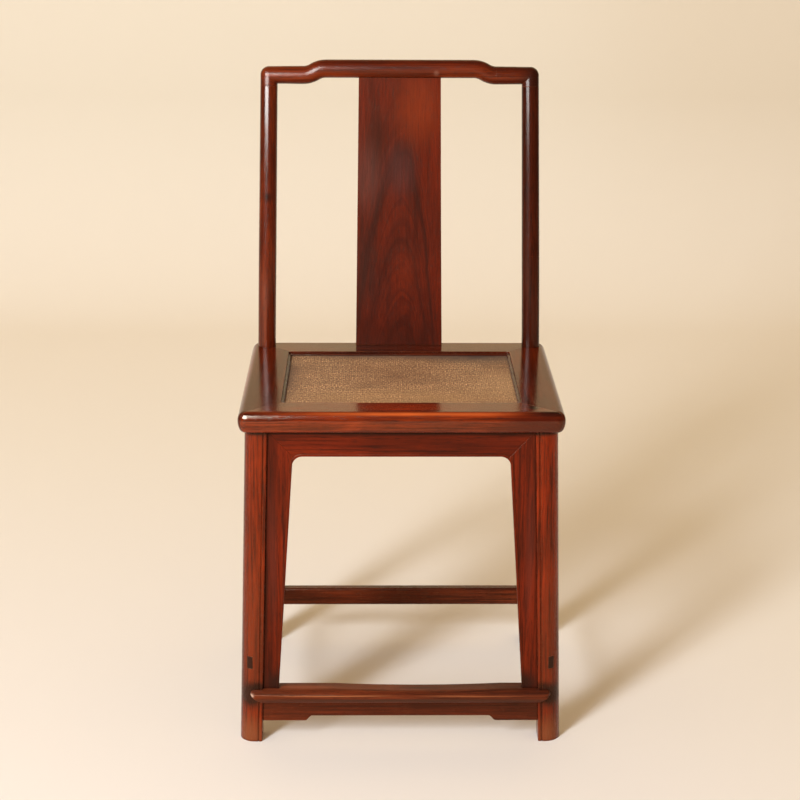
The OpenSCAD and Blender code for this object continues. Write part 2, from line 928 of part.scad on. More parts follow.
// The hollow is the rail's top again, bent to a wide circle that dips into the rail
module foot_rail_wear() {
    sweep = 2.6 * asin(foot_wear_l / 2 / foot_wear_r);
    back = foot_rail_d + lap - foot_rail_front;
    translate([foot_wear_x, 0, foot_rail_top - foot_wear + foot_wear_r])
        rotate([-90, 0, 0])
            rotate([0, 0, 90 - sweep / 2])
                rotate_extrude(angle = sweep, $fn = 720)
                    polygon(concat(
                        [[foot_wear_r - foot_rail_t, back], [foot_wear_r, back]],
                        [for (p = slope_line) [foot_wear_r + p[1], p[0]]],
                        [
                            [foot_wear_r + foot_slope + lap, -foot_rail_front - lap],
                            [foot_wear_r - foot_rail_t, -foot_rail_front - lap]
                        ]
                    ));
}

module foot_rail_tenon(g) {
    inner = leg_in_world(foot_rail_top);
    middle = -leg_face(foot_rail_top) + leg_s * 0.4;
    block(
        inner - blind_d, inner + blind_d + g, middle - foot_rail_t / 4 - g, middle + foot_rail_t / 4 + g,
        foot_rail_under + foot_rail_t / 4 - g, foot_rail_top - foot_rail_t / 4 + g
    );
}

module foot_rail() {
    color(dark_wood)
        difference() {
            union() {
                difference() {
                    intersection() {
                        along_x(seat_w) foot_rail_section();
                        translate([0, -half_d - seat_t, 0]) along_y(seat_d) foot_rail_outline();
                        foot_rail_plan();
                    }
                    both() front_leg_blank(fit);
                    foot_rail_wear();
                }
                both() foot_rail_tenon(0);
            }
            foot_apron_top_tongue(fit);
        }
}

// An apron's lower edge on the right: level, an ogee ramp down, and a low end
function apron_edge(z, ramp_x, ramp_l, step, end_x) = concat(
    [for (i = [0:8]) [ramp_x - ramp_l + ramp_l * i / 8, z - step * (1 - cos(i * 180 / 8)) / 2]],
    [[end_x, z - step]]
);

module apron_outline(top, height, ramp_x, step, end_x) {
    edge = apron_edge(top - height, ramp_x, step * 1.35, step, end_x);
    polygon(concat([[-end_x, top]], mirrored(edge), edge, [[end_x, top]]));
}

foot_apron_top = -(seat_under - foot_rail_under) / cos(splay_end);
apron_tongue_y = apron_back + apron_t / 2;

module foot_apron_top_tongue(g) {
    front_plane()
        block(
            -foot_apron_x, foot_apron_x,
            apron_tongue_y - tongue_t / 2 - g, apron_tongue_y + tongue_t / 2 + g,
            foot_apron_top - tongue_d, foot_apron_top + tongue_d + g
        );
}

module foot_apron_tongue(g) {
    inner = leg_in(foot_apron_top);
    front_plane()
        block(
            inner - tongue_d, inner + tongue_d + g,
            apron_tongue_y - tongue_t / 2 - g, apron_tongue_y + tongue_t / 2 + g,
            foot_apron_top - foot_apron_h - g, foot_apron_top - tongue_d / 2 + g
        );
}

module foot_apron() {
    color(dark_wood)
        union() {
            difference() {
                front_plane()
                    translate([0, apron_back, 0])
                        along_y(apron_t)
                            apron_outline(
                                foot_apron_top, foot_apron_h, foot_apron_x, foot_apron_step, half_w
                            );
                both() front_leg_blank(fit);
                block(-far, far, -far, 0, foot_rail_under - fit, seat_h);
                both() outside_the_legs();
            }
            foot_apron_top_tongue(0);
            both() foot_apron_tongue(0);
        }
}

// All that lies past a leg's outer face
module outside_the_legs() {
    block(leg_mid_x, far, -far, far, -far, seat_under);
}

// Stretchers

// Distance of a leg's inner face from the middle at a height above the floor
function leg_in_world(z) = leg_in(z - seat_under);

module stretcher_section(middle) {
    polygon(round_box(
        middle - stretcher_t / 2, middle + stretcher_t / 2, -stretcher_h / 2, stretcher_h / 2, stretcher_r
    ));
}

back_stretcher_z = back_stretcher_top - stretcher_h / 2;
back_stretcher_y = leg_face(back_stretcher_z) - leg_s / 2;

module back_stretcher_tenon(g) {
    inner = leg_in_world(back_stretcher_z);
    half_t = through_w / 2 + g;
    half_h = through_h / 2 + g;
    block(
        inner - blind_d, inner + blind_d + g, back_stretcher_y - half_t, back_stretcher_y + half_t,
        back_stretcher_z - half_h, back_stretcher_z + half_h
    );
}

module back_stretcher() {
    color(dark_wood)
        union() {
            difference() {
                translate([0, 0, back_stretcher_z])
                    along_x(2 * leg_mid_x) stretcher_section(back_stretcher_y);
                both() rear_leg_blank(fit);
            }
            both() back_stretcher_tenon(0);
        }
}

side_stretcher_x = leg_out(side_stretcher_z) - side_stretcher_in;

// It runs through both legs and is cut flush with their faces
module through_tenon(g) {
    half_t = through_w / 2 + g;
    half_h = through_h / 2 + g;
    reach = leg_face(0) + leg_s;
    block(
        side_stretcher_x - half_t, side_stretcher_x + half_t, -reach, reach,
        side_stretcher_z - half_h, side_stretcher_z + half_h
    );
}

module side_stretcher() {
    color(dark_wood)
        intersection() {
            union() {
                difference() {
                    translate([0, -leg_mid_y, side_stretcher_z])
                        along_y(2 * leg_mid_y) stretcher_section(side_stretcher_x);
                    front_leg_blank(fit);
                    rear_leg_blank(fit);
                }
                through_tenon(0);
            }
            union() {
                front_leg_blank(0);
                rear_leg_blank(0);
                block(0, far, -leg_mid_y, leg_mid_y, 0, seat_under);
            }
        }
}

// Side and back aprons

// The plane of the right legs' outer faces, turned so that x runs back along the seat's side
module side_plane() {
    translate([leg_x + leg_s, 0, seat_under]) rotate([0, -splay_side, 0]) rotate([0, 0, 90]) children();
}

module back_plane() {
    mirror([0, 1, 0]) front_plane() children();
}

// A board under a rail, from leg to leg, before the legs are cut out of it
module apron_board(half_length) {
    translate([0, apron_back, 0])
        along_y(apron_t)
            apron_outline(-fit, apron_h, half_length - apron_end_l, apron_step, half_length + leg_s / 2);
}

// Tongues along the top and on both ends
module apron_tongues(half_length, g) {
    y0 = apron_tongue_y - tongue_t / 2 - g;
    y1 = apron_tongue_y + tongue_t / 2 + g;
    block(-half_length + tongue_d, half_length - tongue_d, y0, y1, -apron_h / 2, tongue_d + g);
    block(-half_length - tongue_d - g, half_length + tongue_d + g, y0, y1, -apron_h - g, -tongue_d + g);
}

module side_apron_tongue(g) {
    side_plane() apron_tongues(leg_y - leg_s, g);
}

module back_apron_tongue(g) {
    back_plane() apron_tongues(leg_x, g);
}

module side_apron() {
    color(dark_wood)
        union() {
            difference() {
                side_plane() apron_board(leg_y - leg_s);
                front_leg_blank(fit);
                rear_leg_blank(fit);
            }
            side_apron_tongue(0);
        }
}

module back_apron() {
    color(dark_wood)
        union() {
            difference() {
                back_plane() apron_board(leg_x);
                both() rear_leg_blank(fit);
            }
            back_apron_tongue(0);
        }
}

module centred() {
    translate([0, -mid_y, 0]) children();
}

module left() {
    centred() mirror([1, 0, 0]) children();
}

centred() crest_rail();
centred() back_splat();
left() back_post();  // back_post_left
centred() back_post();  // back_post_right
centred() seat_front_rail();
centred() seat_back_rail();
left() seat_side_rail();  // seat_side_rail_left
centred() seat_side_rail();  // seat_side_rail_right
centred() woven_mat();
centred() mat_strip_front();
centred() mat_strip_back();
left() mat_strip_side();  // mat_strip_left
centred() mat_strip_side();  // mat_strip_right
centred() seat_board();
left() seat_brace();  // seat_brace_left
centred() seat_brace();  // seat_brace_right
left() front_leg();  // front_leg_left
centred() front_leg();  // front_leg_right
centred() front_apron();
left() front_apron_side();  // front_apron_left
centred() front_apron_side();  // front_apron_right
centred() foot_rail();
centred() foot_apron();
centred() back_stretcher();
left() side_stretcher();  // side_stretcher_left
centred() side_stretcher();  // side_stretcher_right
left() side_apron();  // side_apron_left
centred() side_apron();  // side_apron_right
centred() back_apron();
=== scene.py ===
"""Looks of the yoke-back side chair: its woods, its plaited seat mat, and a plain pale studio.

Everything is in metres in the part's own frame: the chair stands on z = 0 and faces -Y.
"""

import math

import bpy
from mathutils import Matrix, Vector


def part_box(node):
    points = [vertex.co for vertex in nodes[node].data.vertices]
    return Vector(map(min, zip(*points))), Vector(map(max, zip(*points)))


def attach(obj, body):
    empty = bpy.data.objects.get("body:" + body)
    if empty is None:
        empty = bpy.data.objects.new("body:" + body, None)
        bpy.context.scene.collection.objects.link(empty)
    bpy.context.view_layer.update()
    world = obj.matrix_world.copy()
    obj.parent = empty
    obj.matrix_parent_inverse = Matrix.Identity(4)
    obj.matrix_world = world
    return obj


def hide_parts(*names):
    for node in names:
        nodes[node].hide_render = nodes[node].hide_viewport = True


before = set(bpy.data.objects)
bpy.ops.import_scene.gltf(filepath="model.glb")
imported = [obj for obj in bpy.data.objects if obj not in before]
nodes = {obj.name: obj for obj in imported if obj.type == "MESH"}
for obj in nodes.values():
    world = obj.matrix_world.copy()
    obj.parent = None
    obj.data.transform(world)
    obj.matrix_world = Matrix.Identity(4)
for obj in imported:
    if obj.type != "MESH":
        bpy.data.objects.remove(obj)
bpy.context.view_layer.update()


# Colours, as linear light

def srgb(red, green, blue):
    """A colour given as screen values from 0 to 255, as linear light."""
    def linear(value):
        value /= 255
        return value / 12.92 if value <= 0.04045 else ((value + 0.055) / 1.055) ** 2.4
    return (linear(red), linear(green), linear(blue), 1.0)


BLACK_BROWN = srgb(30, 11, 6)


# Node helpers

def add(tree, kind, inputs=None, **attributes):
    """Adds a node. An input's value may be a plain value or another node's socket."""
    made = tree.nodes.new(kind)
    for name, value in attributes.items():
        setattr(made, name, value)
    for name, value in (inputs or {}).items():
        if isinstance(value, bpy.types.NodeSocket):
            tree.links.new(value, made.inputs[name])
        else:
            made.inputs[name].default_value = value
    return made


def maths(tree, operation, *values, clamp=False):
    """One sum, on plain values or sockets."""
    made = add(tree, "ShaderNodeMath", dict(enumerate(values)), operation=operation, use_clamp=clamp)
    return made.outputs[0]


# The sockets of a colour mix, given by number because a Mix node has several of the same name
MIX_FACTOR = 0
MIX_A = 6
MIX_B = 7
MIX_RESULT = 2


def mix(tree, factor, a, b, blend="MIX"):
    """Colour a with colour b laid over it by the factor."""
    sockets = {MIX_FACTOR: factor, MIX_A: a, MIX_B: b}
    made = add(tree, "ShaderNodeMix", sockets, data_type="RGBA", blend_type=blend)
    return made.outputs[MIX_RESULT]


def ramp(tree, value, *stops):
    """A colour ramp. Each stop is (place, colour or grey level)."""
    made = add(tree, "ShaderNodeValToRGB", {0: value})
    elements = made.color_ramp.elements
    while len(elements) < len(stops):
        elements.new(0.5)
    for element, (place, colour) in zip(elements, stops):
        element.position = place
        element.color = colour if hasattr(colour, "__len__") else (colour, colour, colour, 1.0)
    return made.outputs[0]


def noise(tree, where, scale, detail=3.0, roughness=0.5, distortion=0.0):
    """Noise from 0 to 1. The larger the scale, the finer it is."""
    made = add(tree, "ShaderNodeTexNoise", {
        "Vector": where, "Scale": scale, "Detail": detail, "Roughness": roughness, "Distortion": distortion
    })
    return made.outputs["Fac"]


def stretched(tree, where, grain, share, offset=(0.0, 0.0, 0.0)):
    """Coordinates in which a texture is drawn out along the grain."""
    scale = [share if axis == grain else 1.0 for axis in "XYZ"]
    return add(tree, "ShaderNodeMapping", {"Vector": where, "Scale": scale, "Location": offset}).outputs[0]


def patch(tree, where, centre, size, strength):
    """A soft oval spot, strongest at its centre."""
    moved = add(tree, "ShaderNodeVectorMath", {0: where, 1: centre}, operation="SUBTRACT").outputs[0]
    scaled = add(tree, "ShaderNodeVectorMath", {0: moved, 1: size}, operation="DIVIDE").outputs[0]
    reach = add(tree, "ShaderNodeVectorMath", {0: scaled}, operation="LENGTH").outputs["Value"]
    spot = add(tree, "ShaderNodeMapRange", {
        "Value": reach, "From Min": 1.0, "From Max": 0.0, "To Min": 0.0, "To Max": strength
    }, interpolation_type="SMOOTHERSTEP")
    return spot.outputs[0]


def new_material(name):
    """A material, its node tree and its shader."""
    material = bpy.data.materials.new(name)
    material.use_nodes = True
    tree = material.node_tree
    shader = tree.nodes["Principled BSDF"]
    return material, tree, shader


# Woods

# How far the dark of joints and creases, partly dirt and partly painted shade, and the rubbing of an edge
# reach, and how many rays find them
GRIME_AND_SHADE_REACH = 0.006
EDGE_REACH = 0.0011
RAY_SAMPLES = 6
# How much the gloss varies over a piece
ROUGH_SPREAD = 0.10
# Depths of the surface's soft waves and of its open grain
WAVE_DEPTH = 0.0006
GRAIN_DEPTH = 0.00025
# Colours of the gloss
GLOSS_TINT = (0.90, 0.52, 0.30, 1.0)
SEAT_TINT = (1.0, 0.68, 0.44, 1.0)
SIDE_TINT = (1.0, 0.60, 0.36, 1.0)
ROD_TINT = (1.0, 0.74, 0.56, 1.0)
WORN_EDGE = srgb(164, 84, 40)
SEAM_HALF = 0.0009
SEAM_STRENGTH = 0.85


def finish_wood(tree, shader, where, colour, fibre, pores, gloss, wear, ior=1.36, tint=GLOSS_TINT, dirt_and_shade=0.8,
                relief=0.16):
    """What every wood here has: joints and creases darkened, partly dirt and partly painted shade, rubbed
    edges, a waxed gloss and an open grain.
    """
    bevel = add(tree, "ShaderNodeBevel", {"Radius": EDGE_REACH}, samples=RAY_SAMPLES)
    flat = add(tree, "ShaderNodeNewGeometry").outputs["True Normal"]
    turned = add(tree, "ShaderNodeVectorMath", {0: bevel.outputs[0], 1: flat}, operation="DOT_PRODUCT")
    edge = maths(tree, "SUBTRACT", 1.0, turned.outputs["Value"], clamp=True)
    edge = ramp(tree, edge, (0.005, 0.0), (0.09, 1.0))

    # Occlusion darkens joints and creases: partly dirt, partly painted shade where light is blocked
    hidden = add(tree, "ShaderNodeAmbientOcclusion", {"Distance": GRIME_AND_SHADE_REACH}, samples=RAY_SAMPLES)
    grime_and_shade = ramp(tree, hidden.outputs["AO"], (0.30, 1.0), (0.80, 0.0))
    colour = mix(tree, maths(tree, "MULTIPLY", grime_and_shade, dirt_and_shade), colour, BLACK_BROWN)
    rubbed = noise(tree, where, scale=60.0, detail=3.0)
    rubbed = ramp(tree, rubbed, (0.40, 0.0), (0.65, 1.0))
    edge = maths(tree, "MULTIPLY", edge, maths(tree, "MULTIPLY_ADD", rubbed, 0.8, 0.2))
    colour = mix(tree, maths(tree, "MULTIPLY", edge, wear), colour, WORN_EDGE)

    cloudy = noise(tree, where, scale=14.0, detail=4.0, roughness=0.6)
    rough = maths(tree, "MULTIPLY_ADD", cloudy, ROUGH_SPREAD, gloss - ROUGH_SPREAD / 2)
    rough = maths(tree, "MULTIPLY_ADD", fibre, 0.04, rough)
    rough = maths(tree, "MULTIPLY_ADD", pores, 0.12, rough)
    rough = maths(tree, "MULTIPLY_ADD", edge, 0.08, rough)

    wavy = noise(tree, where, scale=22.0, detail=2.0)
    waves = add(tree, "ShaderNodeBump", {
        "Strength": 0.25, "Distance": WAVE_DEPTH, "Height": wavy, "Normal": bevel.outputs[0]
    })
    height = maths(tree, "SUBTRACT", fibre, maths(tree, "MULTIPLY", pores, 1.5))
    open_grain = add(tree, "ShaderNodeBump", {
        "Strength": relief, "Distance": GRAIN_DEPTH, "Height": height, "Normal": waves.outputs[0]
    })
    for name, value in (("Base Color", colour), ("Roughness", rough), ("Normal", open_grain.outputs[0])):
        tree.links.new(value, shader.inputs[name])
    shader.inputs["IOR"].default_value = ior
    shader.inputs["Specular Tint"].default_value = tint


def grain_marks(tree, where, grain, offset):
    """Fine fibres and short dark pores along the grain."""
    fibre = noise(tree, stretched(tree, where, grain, 0.03, offset), scale=420.0, detail=3.0, roughness=0.6)
    specks = noise(tree, stretched(tree, where, grain, 0.06, offset), scale=1100.0, detail=1.0)
    pores = ramp(tree, specks, (0.60, 0.0), (0.70, 1.0))
    return fibre, pores


def lay_stains_and_painted_light(tree, where, colour, spots, broken):
    """Soft oval spots, each (centre, half size, strength, colour), broken up by another texture: stains, and
    in some tables painted shadow, shade, highlight and sheen.
    """
    for centre, size, strength, tint in spots:
        spot = patch(tree, where, centre, size, strength)
        ragged = maths(tree, "MULTIPLY", spot, maths(tree, "MULTIPLY_ADD", broken, 1.6, 0.2), clamp=True)
        colour = mix(tree, ragged, colour, tint)
    return colour


def seam(tree, where, start, end):
    """A thin dark line through two places of the plan, mirrored to the other side, as a mitre shows."""
    away = math.dist(start, end)
    normal_x, normal_y = (end[1] - start[1]) / away, (start[0] - end[0]) / away
    place = add(tree, "ShaderNodeSeparateXYZ", {0: where})
    side = maths(tree, "ABSOLUTE", place.outputs["X"])
    across = maths(tree, "MULTIPLY_ADD", side, normal_x, -start[0] * normal_x - start[1] * normal_y)
    across = maths(tree, "MULTIPLY_ADD", place.outputs["Y"], normal_y, across)
    line = add(tree, "ShaderNodeMapRange", {
        "Value": maths(tree, "ABSOLUTE", across),
        "From Min": SEAM_HALF, "From Max": 0.0, "To Min": 0.0, "To Max": SEAM_STRENGTH
    })
    return line.outputs[0]


def wood(name, grain, tones, gloss=0.20, wear=0.35, offset=0.0, streak=30.0, length=0.055, ior=1.36,
         tint=GLOSS_TINT, dirt_and_shade=0.8, relief=0.16, lining=0.85, spots=(), seams=()):
    """A straight-grained hardwood. tones are its light, middle and dark colours, and grain is its axis.

    gloss is its roughness and wear the rubbing of its edges. streak and length are the fineness and the
    drawing out of its bands, and offset is their place in the noise. The dark of its joints and creases,
    partly dirt and partly painted shade, is set by the argument after tint, relief is its open grain, and
    lining the strength of its dark lines.
    """
    material, tree, shader = new_material(name)
    where = add(tree, "ShaderNodeTexCoord").outputs["Object"]
    light, middle, dark = tones
    shift = (offset, offset * 0.7, offset * 1.3)
    along = stretched(tree, where, grain, length, shift)
    bands = noise(tree, along, scale=streak, detail=5.0, roughness=0.6, distortion=0.5)
    colour = ramp(tree, bands, (0.22, dark), (0.45, middle), (0.78, light))
    cloud = noise(tree, where, scale=7.0, detail=3.0)
    colour = mix(tree, ramp(tree, cloud, (0.42, 0.0), (0.72, 0.55)), colour, dark)
    lines = noise(tree, stretched(tree, where, grain, 0.028, shift), scale=240.0, detail=5.0, roughness=0.7)
    colour = mix(tree, ramp(tree, lines, (0.47, 0.0), (0.64, lining)), colour, dark)
    fibre, pores = grain_marks(tree, where, grain, shift)
    shade = ramp(tree, fibre, (0.30, 0.62), (0.70, 1.15))
    colour = mix(tree, 0.8, colour, shade, "MULTIPLY")
    colour = mix(tree, maths(tree, "MULTIPLY", pores, 0.6), colour, BLACK_BROWN)
    colour = lay_stains_and_painted_light(tree, where, colour, spots, bands)
    for start, end in seams:
        colour = mix(tree, seam(tree, where, start, end), colour, BLACK_BROWN)
    finish_wood(tree, shader, where, colour, fibre, pores, gloss, wear, ior, tint, dirt_and_shade, relief)
    return material


# The splat's figure: soft nested arches, wider on the left of their peak than on its right
ARCH_X = 0.008
ARCH_WANDER = 0.024
ARCH_RIPPLE = 0.07
RING_SCALE = 60.0
ARCH_DROP_LEFT = 47.0
ARCH_DROP_RIGHT = 140.0
ARCH_LOW = 0.50
ARCH_HIGH = 1.05
SPLAT_LIGHT = srgb(102, 26, 6)
SPLAT_MIDDLE = srgb(82, 18, 5)
SPLAT_DARK = srgb(40, 12, 8)
SPLAT_ARCHES = (
    # height of the arch's peak, how dark it is
    (0.50, 0.55),
    (0.60, 0.25),
    (0.665, 0.30),
    (0.695, 0.70),
    (0.735, 0.25),
    (0.790, 0.35),
    (0.828, 0.95),
    (0.860, 0.35),
    (0.930, 0.15),
    (1.05, 0.0),
)
SPLAT_SPOTS_AND_SHEEN = (
    ((0.030, 0.21, 0.900), (0.065, 0.2, 0.095), 0.75, srgb(116, 38, 11)),
    ((-0.036, 0.21, 0.855), (0.030, 0.2, 0.080), 0.55, srgb(52, 16, 8)),
    # Painted sheen: the next two greyish patches, on the left and in the middle, stand in for the lamp's
    # reflection
    ((-0.052, 0.21, 0.790), (0.036, 0.2, 0.090), 0.50, srgb(88, 52, 44)),
    ((0.000, 0.21, 0.800), (0.045, 0.2, 0.070), 0.50, srgb(78, 42, 38)),
    ((-0.055, 0.21, 0.650), (0.036, 0.2, 0.130), 0.50, srgb(54, 24, 18)),
    ((0.010, 0.21, 0.640), (0.030, 0.2, 0.060), 0.50, srgb(100, 28, 8)),
    ((0.000, 0.19, 0.530), (0.120, 0.2, 0.070), 0.60, srgb(58, 14, 5)),
)


def splat_wood():
    """The splat's board, sawn so that its rings show as arches."""
    material, tree, shader = new_material("splat_wood")
    where = add(tree, "ShaderNodeTexCoord").outputs["Object"]
    place = add(tree, "ShaderNodeSeparateXYZ", {0: where})
    wander = noise(tree, stretched(tree, where, "Z", 0.3), scale=18.0, detail=3.0, roughness=0.55)
    across = maths(tree, "SUBTRACT", place.outputs["X"], ARCH_X + ARCH_WANDER / 2)
    across = maths(tree, "MULTIPLY_ADD", wander, ARCH_WANDER, across)
    on_right = maths(tree, "GREATER_THAN", across, 0.0)
    drop = maths(tree, "MULTIPLY_ADD", on_right, ARCH_DROP_RIGHT - ARCH_DROP_LEFT, ARCH_DROP_LEFT)
    fall = maths(tree, "MULTIPLY", drop, maths(tree, "MULTIPLY", across, across))
    arch = maths(tree, "ADD", place.outputs["Z"], fall)
    arch = maths(tree, "MULTIPLY_ADD", maths(tree, "SUBTRACT", wander, 0.5), ARCH_RIPPLE, arch)
    rings = add(tree, "ShaderNodeTexNoise", {
        "W": arch, "Scale": RING_SCALE, "Detail": 5.0, "Roughness": 0.6
    }, noise_dimensions="1D").outputs["Fac"]
    colour = ramp(tree, rings, (0.30, SPLAT_MIDDLE), (0.70, SPLAT_LIGHT))
    height = add(tree, "ShaderNodeMapRange", {"Value": arch, "From Min": ARCH_LOW, "From Max": ARCH_HIGH})
    stops = [((peak - ARCH_LOW) / (ARCH_HIGH - ARCH_LOW), share) for peak, share in SPLAT_ARCHES]
    arches = ramp(tree, height.outputs[0], *stops)
    colour = mix(tree, maths(tree, "MULTIPLY", arches, 0.8), colour, SPLAT_DARK)
    streaks = noise(tree, stretched(tree, where, "Z", 0.04), scale=90.0, detail=5.0, roughness=0.65)
    colour = mix(tree, ramp(tree, streaks, (0.42, 0.0), (0.72, 0.65)), colour, SPLAT_DARK)
    colour = lay_stains_and_painted_light(tree, where, colour, SPLAT_SPOTS_AND_SHEEN, streaks)
    fibre, pores = grain_marks(tree, where, "Z", (0.0, 0.0, 0.0))
    shade = ramp(tree, fibre, (0.30, 0.70), (0.70, 1.15))
    colour = mix(tree, 0.8, colour, shade, "MULTIPLY")
    colour = mix(tree, maths(tree, "MULTIPLY", pores, 0.45), colour, BLACK_BROWN)
    finish_wood(tree, shader, where, colour, fibre, pores, gloss=0.30, wear=0.35, ior=1.26)
    return material


# The light, middle and dark tones of each wood
LEFT_LEG_TONES = (srgb(152, 48, 12), srgb(116, 32, 8), srgb(46, 14, 7))
RIGHT_LEG_TONES = (srgb(160, 50, 14), srgb(124, 34, 9), srgb(48, 15, 7))
SEAT_TONES = (srgb(158, 56, 17), srgb(118, 37, 11), srgb(54, 17, 7))
SIDE_TONES = (srgb(124, 44, 15), srgb(98, 31, 11), srgb(50, 16, 7))
DEEP_TONES = (srgb(128, 36, 9), srgb(96, 24, 7), srgb(42, 12, 6))
LEFT_ROD_TONES = (srgb(132, 50, 16), srgb(94, 29, 9), srgb(46, 14, 6))
RIGHT_ROD_TONES = (srgb(88, 29, 10), srgb(56, 17, 6), srgb(26, 9, 5))
LOW_TONES = (srgb(122, 50, 23), srgb(92, 34, 15), srgb(46, 16, 8))
FOOT_TONES = (srgb(146, 68, 33), srgb(112, 46, 22), srgb(54, 21, 11))
DARK_TONES = (srgb(104, 38, 16), srgb(76, 25, 10), srgb(40, 13, 7))
STRIP_TONES = (srgb(98, 48, 30), srgb(72, 32, 19), srgb(38, 16, 10))
PLAIN_TONES = (srgb(176, 134, 88), srgb(146, 104, 64), srgb(106, 70, 42))

# Spots, each with its centre, half size, strength and colour: stains, and in some tables painted shadow,
# shade, highlight and sheen, marked where they stand
FRONT_STAINS_AND_HIGHLIGHTS = (
    ((0.192, -0.175, 0.520), (0.014, 0.018, 0.03), 1.4, srgb(24, 10, 6)),
    ((0.216, -0.198, 0.5175), (0.038, 0.013, 0.009), 1.4, srgb(24, 10, 6)),
    ((0.060, -0.200, 0.505), (0.070, 0.02, 0.014), 0.6, srgb(60, 20, 9)),
    ((-0.120, -0.200, 0.500), (0.080, 0.02, 0.012), 0.5, srgb(66, 24, 10)),
    ((0.200, -0.200, 0.500), (0.110, 0.05, 0.036), 1.1, srgb(64, 15, 5)),
    # Painted highlight: the next two spots draw a bright orange line along the top edge of the nosing
    ((-0.020, -0.2020, 0.5185), (0.220, 0.008, 0.0045), 0.9, srgb(196, 88, 36)),
    ((0.110, -0.2020, 0.5185), (0.100, 0.008, 0.0045), 0.7, srgb(180, 78, 32)),
    # Painted light: the middle of the rail's top is lightened to offset the splat's dark reflection in it
    ((0.000, -0.1760, 0.5200), (0.110, 0.026, 0.0100), 0.7, srgb(158, 50, 12)),
)
CREST_SPOTS = (
    ((-0.065, 0.190, 0.9365), (0.030, 0.02, 0.0035), 0.8, srgb(176, 120, 96)),
    ((0.057, 0.190, 0.9560), (0.007, 0.02, 0.0080), 0.35, srgb(150, 104, 84)),
    ((0.000, 0.200, 0.9540), (0.130, 0.03, 0.0100), 0.6, srgb(66, 28, 18)),
    ((0.230, 0.200, 0.9450), (0.070, 0.06, 0.0500), 1.5, srgb(48, 15, 6)),
)
POST_SPOTS = (
    ((-0.2085, 0.169, 0.762), (0.013, 0.020, 0.014), 0.75, srgb(26, 11, 7)),
    ((-0.2095, 0.169, 0.764), (0.004, 0.020, 0.007), 0.75, srgb(20, 9, 6)),
    ((0.000, 0.190, 0.545), (0.300, 0.060, 0.060), 0.7, srgb(34, 11, 6)),
)
# The dark band under the seat: the joint's dark line and a painted shadow of the seat's overhang on the
# aprons and legs
SHADOW_UNDER_SEAT = ((0.0, -0.190, 0.4890), (0.900, 0.060, 0.0105), 1.3, srgb(26, 11, 7))
LEG_STAINS_AND_PAINTED_LIGHT = (SHADOW_UNDER_SEAT,) + tuple(
    spot for side in (-1, 1) for spot in (
        # Painted sheen: a broad, paler patch down the front of each leg
        ((side * 0.224, -0.205, 0.180), (0.040, 0.05, 0.240), 0.25, srgb(122, 58, 32)),
        ((side * 0.236, -0.190, 0.380), (0.014, 0.06, 0.130), 0.5, srgb(60, 18, 8)),
        # The next two darken the leg round the foot rail's tip and at the foot of the upright: partly dirt,
        # partly painted shade
        ((side * 0.228, -0.205, 0.076), (0.040, 0.05, 0.034), 1.3, srgb(46, 22, 14)),
        ((side * 0.212, -0.205, 0.090), (0.022, 0.03, 0.012), 0.9, srgb(30, 13, 8)),
        ((side * 0.220, -0.205, 0.340), (0.004, 0.03, 0.110), 0.5, srgb(46, 15, 7)),
        ((side * 0.228, -0.205, 0.010), (0.036, 0.06, 0.050), 0.8, srgb(120, 64, 36)),
    )
)
SIDE_STAINS_AND_HIGHLIGHT = (
    # Painted highlight: a lighter orange strip along the outer edge of the left rail
    ((-0.234, -0.020, 0.512), (0.012, 0.180, 0.014), 0.7, srgb(150, 62, 24)),
    ((0.215, 0.040, 0.520), (0.030, 0.130, 0.020), 0.6, srgb(78, 26, 10)),
    ((0.210, -0.150, 0.520), (0.022, 0.050, 0.020), 0.7, srgb(60, 22, 10)),
)
FOOT_MARKS_HIGHLIGHTS_AND_SHADE = (
    # Painted highlight: the next two spots draw a light line along the rail's front edge
    ((-0.100, -0.2125, 0.0790), (0.140, 0.008, 0.0018), 0.7, srgb(168, 100, 60)),
    ((0.110, -0.2125, 0.0785), (0.130, 0.008, 0.0018), 0.6, srgb(160, 92, 54)),
    # Painted highlight: a pale gleam on the left tip
    ((-0.2225, -0.2080, 0.0790), (0.006, 0.010, 0.0050), 0.9, srgb(206, 168, 142)),
    # Painted shade: a grey-brown band on the lower front face, which curves in underneath
    ((0.000, -0.2135, 0.0710), (0.500, 0.006, 0.0065), 1.2, srgb(66, 37, 25)),
    ((-0.150, -0.1950, 0.0855), (0.100, 0.012, 0.0060), 0.6, srgb(146, 62, 28)),
    ((0.060, -0.1950, 0.0855), (0.160, 0.012, 0.0060), 0.6, srgb(84, 28, 11)),
)
ARCH_MARKS_AND_SHADE = (SHADOW_UNDER_SEAT,) + tuple(
    spot for side in (-1, 1) for spot in (
        # Dark at the foot of each upright, over the foot rail: partly dirt, partly painted shade
        ((side * 0.176, -0.190, 0.092), (0.060, 0.05, 0.035), 1.1, srgb(44, 18, 12)),
        ((side * 0.190, -0.190, 0.300), (0.012, 0.05, 0.180), 0.5, srgb(84, 36, 26)),
    )
)
# The dark end grain of the side stretchers' tenons
TENON_SPOTS = tuple(
    ((side * 0.2257, end, 0.128), (0.060, 0.022, 0.060), 1.0, srgb(36, 19, 13))
    for side in (-1, 1) for end in (-0.206, 0.206)
)

# The seat frame's mitres in plan, from the mat's corner to the frame's
FRONT_MITRE = ((0.1763, -0.1509), (0.2360, -0.2040))
BACK_MITRE = ((0.1763, 0.1308), (0.2360, 0.1930))

